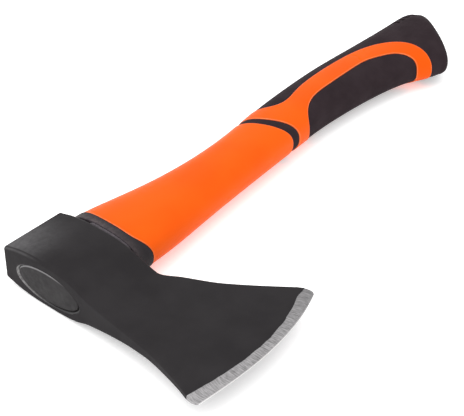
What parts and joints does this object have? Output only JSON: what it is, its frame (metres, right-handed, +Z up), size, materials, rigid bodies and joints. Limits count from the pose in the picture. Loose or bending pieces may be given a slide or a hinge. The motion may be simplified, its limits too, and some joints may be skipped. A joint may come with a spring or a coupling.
{
  "type": "fibreglass handle hatchet",
  "caption": "Small one-hand axe: flared single-bit forged head bonded in its eye to a curved moulded handle with soft inlaid grips.",
  "frame": {"origin": "under the middle of the axe's bounding box, on the ground it lies on", "axes": "+X along the handle from the head to the butt; +Y towards the poll, with the cutting edge facing -Y; +Z up through the thickness, from the cheek the axe lies on"},
  "size_m": [0.3708, 0.1498, 0.0278],
  "materials": {
    "black_coat": "satin black powder coat on forged steel; the bevel behind the cutting edge is ground bright",
    "resin": "cast dark resin, matt",
    "fibreglass": "straw-coloured pultruded fibreglass",
    "orange_plastic": "smooth semi-gloss orange moulding",
    "soft_black": "matt black soft-touch elastomer",
    "seal_rubber": "matt dark grey rubber"
  },
  "bodies": {
    "root": {"axe_head": "black_coat", "eye_resin": "resin", "eye_seal": "seal_rubber", "fibreglass_core": "fibreglass", "handle_jacket": "orange_plastic", "head_collar": "soft_black", "neck_band": "soft_black", "spine_grip": "soft_black", "belly_grip": "soft_black"}
  },
  "joints": []
}
